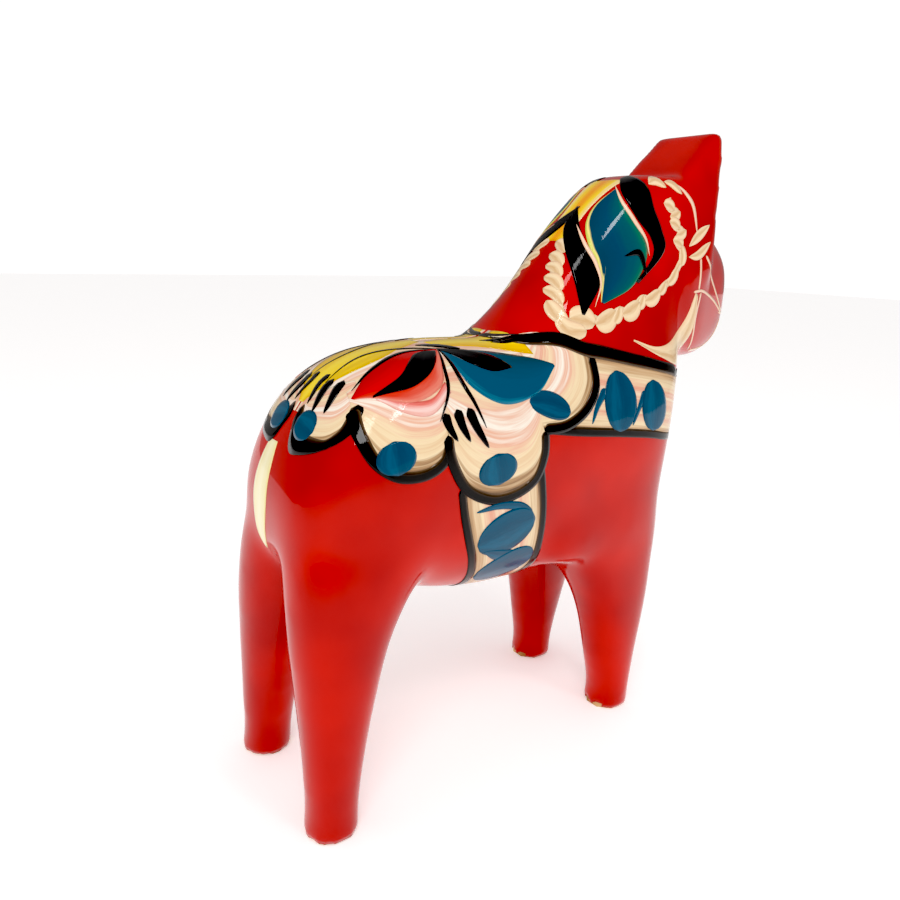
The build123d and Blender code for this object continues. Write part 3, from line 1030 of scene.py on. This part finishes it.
@dataclass
class Flower:
    """The kurbits flower on the back: petals that fan out from beside the spine."""

    start: Point = (-14.5, 15.5)
    vein: float = 0.9  # mm

    def layers(self) -> list[PaintLayer]:
        """All the flower's colours.

        Returns:
            One layer for each colour and part.
        """
        petal, line = PETAL_LIFT, LINE_LIFT
        tail_edge = [(-15, 3), (-23, 9), (-30, 15), (-37, 16), (-43, 12), (-47.5, 3)]
        yellow = [
            Touch(
                T, tuple(tail_edge), outer=tuple(flipped(tail_edge)), lift=petal - 0.02, both=False
            )
        ]
        leaf = [
            Touch(
                T, ((-14, 4), (-4, 1), (9, 3)), outer=((-13, 12), (-1, 17), (12, 27)),
                lift=petal - 0.03,
            )
        ]
        red = [
            Touch(
                T, ((-15, 15), (-22, 14.5), (-30, 16.5), (-37, 23), (-42, 31)),
                outer=((-15, 17), (-17.8, 28), (-21.5, 38.5), (-31, 42.5), (-41.6, 32.6)),
                lift=petal,
            )
        ]
        crescent = [
            Touch(
                T, ((-18.6, 16), (-22.4, 18), (-26, 23.5), (-30.4, 30), (-38, 35)),
                outer=((-15.6, 17), (-18.8, 25.5), (-23.4, 32.5), (-29.6, 36.6), (-38.2, 36)),
                lift=line - 0.02,
            )
        ]
        pink = [
            Touch(
                T, ((-37.5, 36), (-32, 41.5), (-25, 42.5), (-19.6, 36)),
                outer=((-37.8, 37.5), (-33, 46), (-26, 49), (-19, 41)), lift=petal - 0.01,
            )
        ]
        blue = [
            Touch(
                T, ((-14, 17), (-3, 20), (8, 26), (16.5, 33)),
                outer=((-14.6, 20), (-13, 38), (-4, 48), (8, 45), (16.8, 34)), lift=petal,
            )
        ]
        shade = [
            Touch(
                T, ((-14.5, 15), (-7, 18.5), (-1, 24), (3, 31)),
                outer=((-14.5, 17), (-10, 27), (-4, 33), (3, 32)), lift=line - 0.02,
            )
        ]
        fine = self.vein
        veins = [
            Touch(T, (self.start, (-17.6, 29), (-19.6, 40), (-24, 52)), fine, Tip.LEAF, lift=line),
            Touch(
                T, (self.start, (-14.8, 35), (-13, 46), (-10.6, 57)), fine + 0.3, Tip.LEAF,
                lift=line,
            ),
            Touch(T, (self.start, (-23, 10), (-33, 6), (-43, 9)), fine, Tip.LEAF, lift=line),
            Touch(
                T, (self.start, (-25, 15), (-35, 21), (-41, 27)), fine + 0.2, Tip.LEAF, lift=line
            ),
            Touch(T, ((-18, 8), (-13, 12), (-8, 17)), 2.2, Tip.LEAF, lift=line + 0.02),
            Touch(T, ((2, 9), (5, 11), (9, 13)), 1.6, Tip.LEAF, lift=line),
            Touch(T, ((4, 13), (7, 15), (11, 18)), 1.6, Tip.LEAF, lift=line),
        ]
        stamens = [
            Touch(T, ((-22.4, 49), (-21.6, 55), (-19.6, 61)), 2.8, Tip.THORN, lift=line),
            Touch(T, ((-18.8, 48), (-17.8, 55), (-15.8, 62)), 3.0, Tip.THORN, lift=line),
            Touch(T, ((-15.4, 48), (-13.6, 56), (-10.2, 66)), 3.0, Tip.THORN, lift=line),
            Touch(T, ((-41, 6), (-43.5, 5), (-47.4, 9)), 2.6, Tip.THORN, lift=line),
            Touch(T, ((-41.5, 12), (-44, 12.5), (-48, 19)), 3.0, Tip.THORN, lift=line),
            Touch(T, ((-40.6, 18), (-43, 20.5), (-47, 28)), 2.8, Tip.THORN, lift=line),
        ]
        return [
            PaintLayer("yellow_petals", "yellow_paint", YELLOW, yellow),
            PaintLayer("yellow_leaf", "yellow_paint", YELLOW, leaf),
            PaintLayer("red_petals", "petal_red_paint", PETAL_RED, red),
            PaintLayer("red_petal_shade", "black_paint", BLACK, crescent),
            PaintLayer("pink_highlights", "pink_paint", PINK, pink),
            PaintLayer("blue_petals", "blue_paint", PETAL_BLUE, blue),
            PaintLayer("blue_petal_shade", "black_paint", BLACK, shade),
            PaintLayer("flower_veins", "black_paint", BLACK, veins),
            PaintLayer("flower_stamens", "black_paint", BLACK, stamens),
        ]


@dataclass
class GirthBand:
    """The band round the belly, with a blue scroll down each side."""

    edge: float = 2.4  # mm

    REAR_EDGE = (
        (-18.4, 84), (-17, 100), (-14.8, 114), (-12, 127), (-9.6, 142), (-8.6, 160), (-8.4, 180),
    )
    FRONT_EDGE = (
        (7.4, 78), (8.8, 94), (9.8, 108), (10.6, 124), (11.4, 140), (10.6, 160), (10, 180),
    )

    def layers(self) -> list[PaintLayer]:
        """All the girth's colours.

        Returns:
            One layer for each colour and part.
        """
        ground = [Touch(T, self.REAR_EDGE, outer=self.FRONT_EDGE, lift=GROUND_LIFT - 0.02)]
        borders = [
            Touch(T, self.REAR_EDGE, self.edge, lift=EDGE_LIFT - 0.02),
            Touch(T, self.FRONT_EDGE[::-1], self.edge, lift=EDGE_LIFT - 0.02),
        ]
        marks = [
            Touch(T, ((-13.4, 99), (-6, 98), (1, 101), (5.6, 109)), 3.4, Tip.DROP, lift=PETAL_LIFT),
            Touch(T, ((-11.8, 118), (-2.4, 114), (7, 110)), 12.6, Tip.OVAL, lift=PETAL_LIFT + 0.01),
            Touch(T, ((-9, 123), (-2, 128), (7, 131)), 3.6, Tip.LEAF, lift=PETAL_LIFT + 0.02),
            Touch(T, ((-8, 142), (1, 137), (10, 132)), 11.0, Tip.OVAL, lift=PETAL_LIFT + 0.03),
        ]
        return [
            PaintLayer("girth_ground", "cream_paint", BAND, ground),
            PaintLayer("girth_border", "black_paint", BORDER, borders),
            PaintLayer("girth_scroll", "blue_paint", BLUE, marks),
        ]


@dataclass
class BreastBand:
    """The band round the chest, its blue scroll, and the line round the neck's foot."""

    edge: float = 2.6  # mm

    TOP = ((27, 30), (35, 32.5), (43, 35), (52, 37.5), (60, 39), (69, 39.5))
    LOW = ((9, 61), (22, 65), (38, 69), (52, 73), (60, 76), (69, 77.5))
    COLLAR = (
        (69, 39.5), (60, 39), (52, 37), (35, 32), (28, 30), (21.5, 26), (12, 19.5), (7.4, 9),
        (6.4, 0),
    )
    CHEST_TOP = (
        (20, 108), (16, 107.4), (9, 106.4), (0, 106), (-9, 106.4), (-16, 107.4), (-20, 108),
    )
    CHEST_LOW = (
        (20, 88.6), (16, 88.2), (9, 87.6), (0, 87.2), (-9, 87.6), (-16, 88.2), (-20, 88.6),
    )

    def layers(self) -> list[PaintLayer]:
        """All the breast band's colours.

        Returns:
            One layer for each colour and part.
        """
        front = Wrap.FRONT
        ground = [
            Touch(T, ((24, 28.5), *self.TOP), outer=self.LOW, lift=GROUND_LIFT - 0.02),
            Touch(front, self.CHEST_TOP, outer=self.CHEST_LOW, lift=GROUND_LIFT - 0.01, both=False),
        ]
        borders = [
            Touch(T, self.LOW, self.edge, lift=EDGE_LIFT - 0.02),
            Touch(front, self.CHEST_LOW, self.edge, lift=EDGE_LIFT - 0.01, both=False),
        ]
        collar = [
            Touch(T, self.COLLAR, self.edge, lift=EDGE_LIFT + 0.06),
            Touch(front, self.CHEST_TOP[::-1], self.edge, lift=EDGE_LIFT + 0.06, both=False),
        ]
        lift = PETAL_LIFT
        marks = [
            Touch(T, ((26.8, 62), (29.2, 54), (33.4, 46)), 2.4, Tip.DROP, lift=lift),
            Touch(T, ((38.6, 39), (38.8, 54), (38.2, 68.5)), 13.0, Tip.OVAL, lift=lift + 0.01),
            Touch(T, ((43.4, 66), (46, 58), (49.6, 49)), 2.2, Tip.DROP, lift=lift + 0.02),
            Touch(T, ((53.6, 44.5), (53.6, 58), (52.8, 71)), 12.0, Tip.OVAL, lift=lift + 0.03),
            Touch(front, ((19.6, 92), (17.6, 97), (14.6, 101)), 2.2, Tip.DROP, lift=lift),
            Touch(front, ((10, 104), (10, 97), (9.6, 90)), 11.0, Tip.OVAL, lift=lift + 0.01),
        ]
        return [
            PaintLayer("breast_ground", "cream_paint", BAND, ground),
            PaintLayer("breast_border", "black_paint", BORDER, borders),
            PaintLayer("neck_line", "black_paint", BORDER, collar),
            PaintLayer("breast_scroll", "blue_paint", BLUE, marks),
        ]


@dataclass
class Mane:
    """The painted mane: a yellow crest, dark leaves, a blue petal and a cream garland."""

    # Up the neck's back the lobes lie round it: start, middle and end, and width
    BACK_LINE = ((33, 17), (28, 22), (23.6, 30), (19.6, 42), (15.6, 54), (12.6, 68), (13.4, 84))
    BACK_LOBES = (
        (((33.4, 6), (32.6, 16), (30.2, 27)), 3.8),
        (((28.8, 9), (28.2, 21), (26.0, 34)), 3.8),
        (((24.8, 14), (25.0, 27), (22.8, 40)), 3.6),
        (((21.2, 22), (21.4, 36), (19.4, 49)), 3.8),
        (((17.6, 30), (17.8, 45), (16.0, 58)), 3.8),
        (((14.6, 42), (12.8, 57), (12.4, 72)), 4.8),
        (((11.8, 60), (11.2, 76), (14.6, 92)), 5.2),
    )
    # Along the neck's side it is a wave, with a lobe's middle, length, width and lean
    WAVE = (
        (24.8, 125.4), (28.4, 123.8), (33.0, 125.4), (38.0, 123.4), (43.2, 127.2), (48.6, 126.4),
        (53.0, 130.4), (58.0, 130.0), (62.6, 133.8), (66.6, 136.0), (69.6, 139.8), (71.6, 143.8),
        (68.2, 146.8), (70.4, 149.8), (66.0, 152.0), (67.6, 155.0), (63.4, 156.8), (64.4, 159.4),
    )
    SIDE_LOBES = (
        (29.6, 124.6, 8.4, 6.4, 170), (38.0, 125.4, 8.8, 6.0, 25), (42.6, 126.2, 5.4, 3.4, 60),
        (48.4, 127.8, 8.0, 5.4, 25), (52.8, 129.6, 4.6, 3.2, 60), (57.8, 131.2, 7.4, 4.4, 25),
        (62.4, 133.6, 4.6, 3.0, 50), (67.0, 137.0, 6.4, 3.4, 50), (70.6, 142.6, 5.6, 3.4, 95),
        (68.6, 146.6, 5.0, 3.4, 160), (69.8, 149.6, 4.8, 3.2, 20), (66.6, 151.8, 5.0, 3.2, 160),
        (66.6, 154.8, 4.8, 3.2, 20), (63.8, 156.8, 5.0, 3.2, 160),
    )

    def garland(self) -> list[Touch]:
        """A wavy line and the lobes that swell from it.

        Returns:
            The lines' and the lobes' touches.
        """
        touches = [
            Touch(S, self.WAVE, 2.3, lift=GROUND_LIFT),
            Touch(N, self.BACK_LINE, 2.6, lift=GROUND_LIFT),
        ]
        lifts = [EDGE_LIFT + 0.012 * step for step in range(4)]  # so that neighbours don't meet
        for order, (path, width) in enumerate(self.BACK_LOBES):
            touches.append(Touch(N, path, width, Tip.OVAL, lift=lifts[order % 4]))
        for order, (x, z, length, width, lean) in enumerate(self.SIDE_LOBES):
            turn = math.radians(lean)
            way = np.array([math.cos(turn), math.sin(turn)]) * length / 2
            bend = np.array([-way[1], way[0]]) * 0.25
            middle = np.array([x, z])
            path = (tuple(middle - way), tuple(middle - bend), tuple(middle + way))
            touches.append(Touch(S, path, width, Tip.OVAL, lift=lifts[order % 4]))
        return touches

    def layers(self) -> list[PaintLayer]:
        """All the mane's colours.

        Returns:
            One layer for each colour and part.
        """
        ridge = [(33.6, 17), (41, 18), (48, 19), (55, 24), (60.6, 31)]
        crest = [Touch(N, tuple(ridge), outer=tuple(flipped(ridge)), lift=GROUND_LIFT, both=False)]
        leaf = [
            Touch(
                N, ((47, -3), (39, 2), (31.4, 24), (26, 45), (22.4, 60), (17.4, 80)),
                outer=((47.2, -1), (38.6, 27), (34, 48), (31.2, 66), (27.4, 80), (17.8, 83)),
                lift=PETAL_LIFT,
            )
        ]
        petal = [
            Touch(
                N, ((55.6, 31), (48, 23), (40.9, 28), (35.2, 44), (32, 62), (28.6, 79), (24.6, 91)),
                outer=(
                    (55.8, 33), (51, 58), (49.2, 86), (47.6, 104), (42.6, 112), (34.7, 111),
                    (25, 95),
                ),
                lift=PETAL_LIFT - 0.03,
            )
        ]
        light = [
            Touch(
                N, ((57, 27), (52, 48), (50, 70), (49.2, 95), (47, 110)), 1.3, Tip.LEAF,
                lift=LINE_LIFT,
            ),
            Touch(
                N, ((40, 18), (34.6, 42), (31.8, 62), (28.2, 80), (22, 88)), 1.2, Tip.LEAF,
                lift=LINE_LIFT,
            ),
        ]
        stroke = [
            Touch(
                N, ((61.4, 22), (54.4, 43), (51.2, 70), (51, 100), (48, 114), (38, 113)),
                outer=((64, 26), (61.4, 60), (58, 82), (56, 106), (52.4, 122), (38.4, 116)),
                lift=PETAL_LIFT - 0.01,
            ),
            Touch(N, ((42.4, 118), (44.6, 98), (40, 84)), 2.0, Tip.LEAF, lift=LINE_LIFT),
        ]
        return [
            PaintLayer("mane_crest", "yellow_paint", CREST, crest),
            PaintLayer("mane_blue_petal", "blue_paint", MANE_BLUE, petal),
            PaintLayer("mane_dark_stroke", "black_paint", BLACK, stroke),
            PaintLayer("mane_dark_leaf", "black_paint", BLACK, leaf),
            PaintLayer("mane_light_line", "ivory_paint", FINE_IVORY, light),
            PaintLayer("mane_garland", "ivory_paint", IVORY, self.garland()),
        ]


@dataclass
class Bridle:
    """The painted bridle: forelock, straps, leaves, noseband and reins."""

    fine: float = 0.85  # mm

    def layers(self) -> list[PaintLayer]:
        """All the bridle's colours.

        Returns:
            One layer for each colour and part.
        """
        fine, lift = self.fine, GROUND_LIFT
        forelock = [
            Touch(S, ((56.6, 162.6), (59.4, 163.6), (62.6, 162)), 2.6, Tip.LEAF, lift=LINE_LIFT),
            Touch(S, ((62.4, 163.6), (65.6, 163), (69.4, 160.6)), 2.2, Tip.LEAF, lift=LINE_LIFT),
        ]
        leaves = [
            Touch(S, ((74, 145.8), (78.6, 149.2), (83.4, 152.4)), 3.2, Tip.LEAF, lift=PETAL_LIFT),
            Touch(S, ((74.2, 142.6), (79, 143.4), (84.4, 147.4)), 3.0, Tip.LEAF, lift=PETAL_LIFT),
        ]
        noseband = [
            Touch(S, ((78.4, 132.1), (84.3, 132.3), (94.7, 129.2), (104, 124.8)), fine, lift=lift),
            Touch(S, ((83, 132), (81.4, 123.4), (83.4, 113.6)), fine, lift=lift + 0.02),
            Touch(
                S, ((105, 122.4), (101.6, 116.6), (95, 113.6), (85, 113)), fine, lift=lift + 0.02
            ),
            Touch(Wrap.FRONT, ((-9, 124.8), (0, 123.4), (9, 124.8)), fine, lift=lift, both=False),
        ]
        straps = [
            Touch(
                S, ((66.6, 163.6), (71.4, 161), (75.5, 157), (77.7, 149)), 1.3, Tip.LEAF, lift=lift
            ),
            Touch(S, ((80.2, 142.5), (81, 137.4), (81.3, 132.7)), fine, lift=lift),
            Touch(S, ((82.8, 143.2), (89, 137.6), (95.5, 132.4), (104.4, 125.2)), fine, lift=lift),
        ]
        reins = [
            Touch(
                S, ((79.6, 132), (75, 123), (67, 117.8), (58, 116.6), (48.6, 119)),
                outer=((81.2, 131), (80.4, 119), (71.6, 110.6), (60, 113.4), (48.4, 118.6)),
                lift=lift,
            )
        ]
        return [
            PaintLayer("forelock", "ivory_paint", IVORY, forelock),
            PaintLayer("bridle_leaves", "ivory_paint", IVORY, leaves),
            PaintLayer("noseband", "ivory_paint", FINE_IVORY, noseband),
            PaintLayer("bridle_straps", "ivory_paint", FINE_IVORY, straps),
            PaintLayer("reins", "ivory_paint", IVORY, reins),
        ]


@dataclass
class Tail:
    """The tail: one long cream stroke down the rump."""

    def layers(self) -> list[PaintLayer]:
        """The tail's one colour.

        Returns:
            Its one layer.
        """
        stripe = Touch(
            Wrap.REAR, ((-1.4, 96.4), (-0.2, 90), (0.4, 82), (-1, 74), (-2.8, 69)),
            outer=((-6.0, 96.4), (-7.6, 90), (-8, 82), (-6.6, 74), (-3.4, 69)),
            lift=GROUND_LIFT, both=False,
        )
        return [PaintLayer("tail_stripe", "white_paint", TAIL_CREAM, [stripe])]


# ---- floor, light and camera ------------------------------------------------------------
@dataclass
class Studio:
    """A pale floor, soft light and the camera."""

    eye: Place = (-124.98, -166.84, 143.43)  # mm, X as in the tables
    heading: float = 0.937  # radians, from +X towards +Y
    dip: float = 0.2616
    roll: float = 0.0335
    lens: float = 30.4
    black: float = 0.043  # light below which the picture is black
    fill: float = 0.72  # how strongly the surroundings light the object
    mirrored: float = 0.45  # how much of that the varnish reflects
    backdrop: float = 1.06  # how bright the surroundings look to the camera
    glow: float = 0.3  # the floor's own light, so that it is as white as the backdrop
    reach: float = 3.0  # metres from the middle of the floor to its edge

    AIM = (0, 0, 0.08)  # metres: the point that the lamps face
    LAMPS = (  # name, place in metres, two sides in metres, watts
        ("window", (-0.32, -0.34, 0.6), (0.22, 0.26), 1.25),
        ("lamp", (0.05, -0.45, 0.62), (0.1, 0.1), 0.4),
    )

    def floor(self) -> None:
        """A wide white floor that the object stands on."""
        far = self.reach
        mesh = bpy.data.meshes.new("floor")
        corners = [(-far, -far, 0), (far, -far, 0), (far, far, 0), (-far, far, 0)]
        mesh.from_pydata(corners, [], [(0, 1, 2, 3)])
        floor = object_from("floor", mesh)
        paper = bpy.data.materials.new("white_paper")
        paper.use_nodes = True
        shader = paper.node_tree.nodes["Principled BSDF"]
        shader.inputs["Base Color"].default_value = linear("fbfafa")
        shader.inputs["Roughness"].default_value = 0.7
        shader.inputs["Specular IOR Level"].default_value = 0.1
        shader.inputs["Emission Color"].default_value = linear("ffffff")
        shader.inputs["Emission Strength"].default_value = self.glow
        mesh.materials.append(paper)

    def lamp(self, name: str, place: Place, size: Point, power: float) -> None:
        """Add a rectangular area light.

        Args:
            name: the light's name.
            place: its place in metres.
            size: its two sides in metres.
            power: watts.
        """
        data = bpy.data.lights.new(name, "AREA")
        data.shape = "RECTANGLE"
        data.size, data.size_y = size
        data.energy = power
        lamp = bpy.data.objects.new(name, data)
        lamp.location = place
        lamp.rotation_euler = (Vector(self.AIM) - Vector(place)).to_track_quat("-Z", "Y").to_euler()
        bpy.context.scene.collection.objects.link(lamp)

    def lights(self) -> None:
        """Pale surroundings and two lamps."""
        world = bpy.data.worlds.new("studio")
        world.use_nodes = True
        sky = world.node_tree.nodes["Background"]
        sky.inputs["Color"].default_value = linear("fffdfc")
        # White where the camera looks, softer as a light, and dim in the varnish
        path = add_node(world.node_tree, "ShaderNodeLightPath", {})
        soft = add_node(
            world.node_tree, "ShaderNodeMapRange",
            {"Value": path.outputs["Is Camera Ray"], "To Min": self.fill, "To Max": self.backdrop},
        )
        dim = add_node(
            world.node_tree, "ShaderNodeMapRange",
            {"Value": path.outputs["Is Glossy Ray"], "To Min": 1.0, "To Max": self.mirrored},
        )
        strength = add_node(
            world.node_tree, "ShaderNodeMath",
            {0: soft.outputs["Result"], 1: dim.outputs["Result"]}, operation="MULTIPLY",
        )
        world.node_tree.links.new(strength.outputs["Value"], sky.inputs["Strength"])
        bpy.context.scene.world = world
        for name, place, size, power in self.LAMPS:
            self.lamp(name, place, size, power)

    def camera(self) -> None:
        """The camera."""
        ahead = Vector(
            (
                math.cos(self.heading) * math.cos(self.dip),
                math.sin(self.heading) * math.cos(self.dip),
                -math.sin(self.dip),
            )
        )
        right = Vector((math.sin(self.heading), -math.cos(self.heading), 0))
        up = right.cross(ahead)
        c, s = math.cos(self.roll), math.sin(self.roll)
        x_axis, y_axis = right * c + up * s, up * c - right * s
        data = bpy.data.cameras.new("camera")
        data.lens = self.lens
        data.sensor_width = 36
        data.clip_start = 0.01
        camera = bpy.data.objects.new("camera", data)
        turn = Matrix((x_axis, y_axis, -ahead)).transposed().to_4x4()
        place = Vector((self.eye[0] + MIDDLE, self.eye[1], self.eye[2])) * MM
        camera.matrix_world = Matrix.Translation(place) @ turn
        bpy.context.scene.collection.objects.link(camera)
        bpy.context.scene.camera = camera

    def build(self) -> None:
        """Make the whole studio."""
        self.floor()
        self.lights()
        self.camera()
        scene = bpy.context.scene
        scene.view_settings.view_transform = "Standard"
        scene.view_settings.look = "None"
        scene.view_settings.use_curve_mapping = True
        scene.view_settings.curve_mapping.black_level = (self.black,) * 3


def main() -> None:
    """Build the horse, then the studio, and log each piece's number of faces."""
    logging.basicConfig(level=logging.INFO, format="%(name)s: %(message)s")
    horse = CarvedHorse()
    wood = horse.carve()
    skin = horse.skin(wood)
    ride_along(horse.lay_coat(wood), "red_coat")
    tree = laying_tree()
    for area in (SaddleCloth(), Flower(), GirthBand(), BreastBand(), Mane(), Bridle(), Tail()):
        for layer in area.layers():
            layer.lay(tree, skin)
    bpy.data.objects.remove(skin)
    ride_along(wood, "pine_body")
    Studio().build()


if __name__ == "__main__":
    main()
